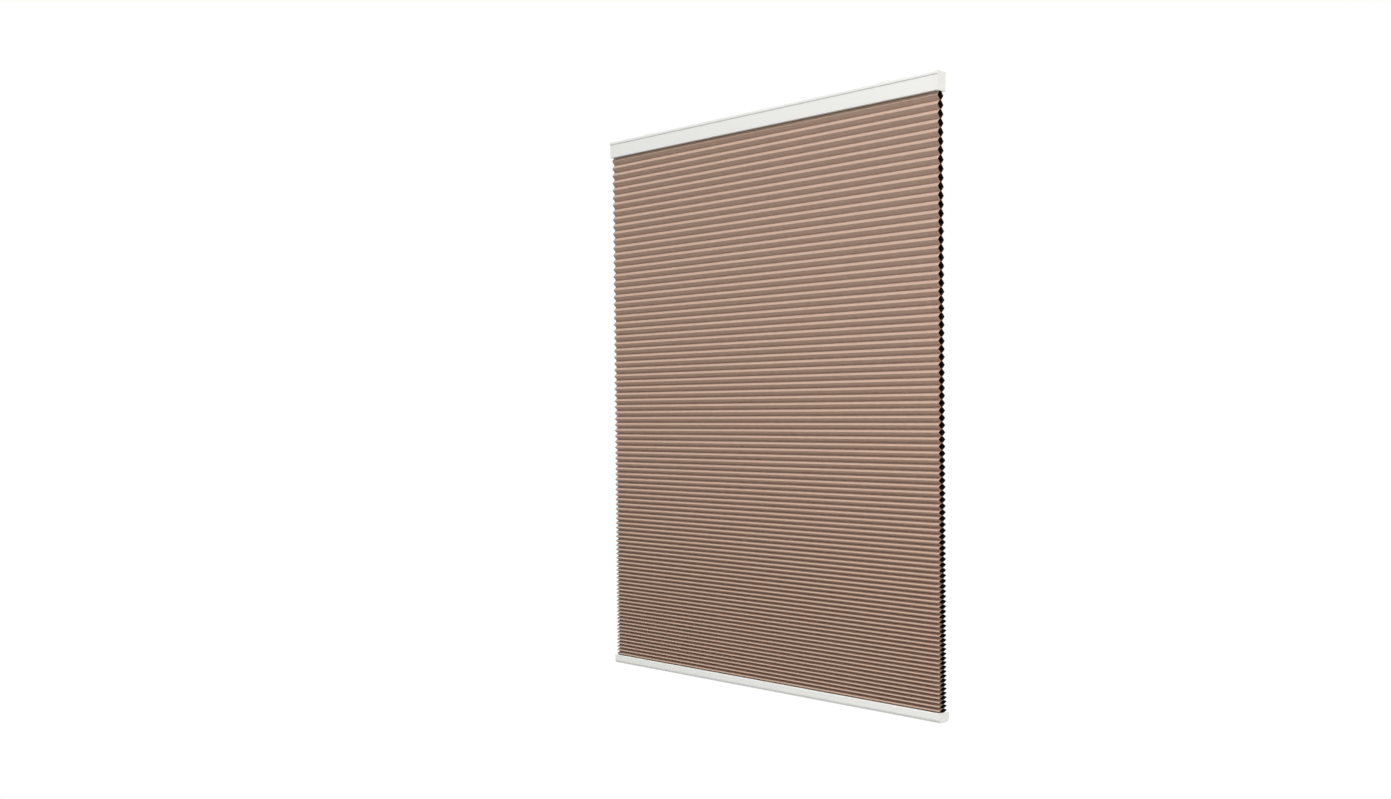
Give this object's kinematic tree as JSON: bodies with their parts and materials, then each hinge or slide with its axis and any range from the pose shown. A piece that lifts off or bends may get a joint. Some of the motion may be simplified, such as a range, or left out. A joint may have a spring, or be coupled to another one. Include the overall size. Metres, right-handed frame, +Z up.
{
  "type": "cellular shade",
  "caption": "Cordless honeycomb window shade: pleated cellular cloth between a slim head rail with a spring lift and a bottom rail that slides up and down.",
  "frame": {"origin": "midway between the two bracket screw holes, on the ceiling plane that the brackets are screwed to", "axes": "+X along the width to the viewer's right, -Y to the room side that the picture shows, +Z up; the shade hangs below the origin"},
  "size_m": [0.911, 0.031, 1.2226],
  "materials": {
    "rail_paint": "white powder coat on extruded aluminium",
    "cap_plastic": "white moulded plastic",
    "cell_cloth": "taupe non-woven cloth with a black lining",
    "strip_plastic": "extruded strip",
    "box_plastic": "grey moulded plastic",
    "gear_plastic": "natural acetal",
    "spring_steel": "bright spring strip",
    "zinc_steel": "zinc plated",
    "lift_cord": "braided polyester"
  },
  "bodies": {
    "head": {"head_rail": "rail_paint", "head_end_cap_left": "cap_plastic", "head_end_cap_right": "cap_plastic", "mounting_bracket_left": "zinc_steel", "mounting_bracket_right": "zinc_steel", "top_fabric_strip": "strip_plastic", "honeycomb_fabric": "cell_cloth", "spring_box_base": "box_plastic", "spring_box_cover": "box_plastic", "spring_box_screws": "zinc_steel", "power_spring": "spring_steel", "cord_guide_left": "box_plastic", "cord_guide_right": "box_plastic", "guide_axle_left": "zinc_steel", "guide_axle_right": "zinc_steel", "lift_cord_left": "lift_cord", "lift_cord_right": "lift_cord"},
    "bottom": {"bottom_rail": "rail_paint", "bottom_end_cap_left": "cap_plastic", "bottom_end_cap_right": "cap_plastic", "bottom_fabric_strip": "strip_plastic", "cord_anchor_left": "cap_plastic", "cord_anchor_right": "cap_plastic"},
    "spool_left": {"cord_spool_left": "gear_plastic"},
    "output": {"output_drum": "gear_plastic"},
    "storage": {"storage_drum": "gear_plastic"},
    "spool_right": {"cord_spool_right": "gear_plastic"},
    "roller_left": {"guide_roller_left": "gear_plastic"},
    "roller_right": {"guide_roller_right": "gear_plastic"}
  },
  "joints": [
    {"name": "lift", "type": "slide", "parent": "head", "child": "bottom", "axis": [0, 0, 1], "range_m": [0, 1.09], "deforming": ["honeycomb_fabric", "lift_cord_left", "lift_cord_right"]},
    {"name": "spool_left_turn", "type": "hinge", "parent": "head", "child": "spool_left", "pos_m": [-0.02517, 0, -0.018], "axis": [0, 0, 1], "continuous": true},
    {"name": "output_turn", "type": "hinge", "parent": "head", "child": "output", "pos_m": [-0.00839, 0, -0.018], "axis": [0, 0, 1], "continuous": true},
    {"name": "storage_turn", "type": "hinge", "parent": "head", "child": "storage", "pos_m": [0.00839, 0, -0.018], "axis": [0, 0, 1], "continuous": true},
    {"name": "spool_right_turn", "type": "hinge", "parent": "head", "child": "spool_right", "pos_m": [0.02517, 0, -0.018], "axis": [0, 0, 1], "continuous": true},
    {"name": "roller_left_turn", "type": "hinge", "parent": "head", "child": "roller_left", "pos_m": [-0.296, -0.00008, -0.02098], "axis": [0.02, 0.9998, 0], "continuous": true},
    {"name": "roller_right_turn", "type": "hinge", "parent": "head", "child": "roller_right", "pos_m": [0.296, -0.00008, -0.02098], "axis": [-0.02, 0.9998, 0], "continuous": true}
  ],
  "couplings": [
    {"joint": "spool_left_turn", "follows": "lift", "rad_per_m": 181.82},
    {"joint": "output_turn", "follows": "lift", "rad_per_m": -181.82},
    {"joint": "storage_turn", "follows": "lift", "rad_per_m": 181.82},
    {"joint": "spool_right_turn", "follows": "lift", "rad_per_m": -181.82},
    {"joint": "roller_left_turn", "follows": "lift", "rad_per_m": 250},
    {"joint": "roller_right_turn", "follows": "lift", "rad_per_m": -250}
  ]
}
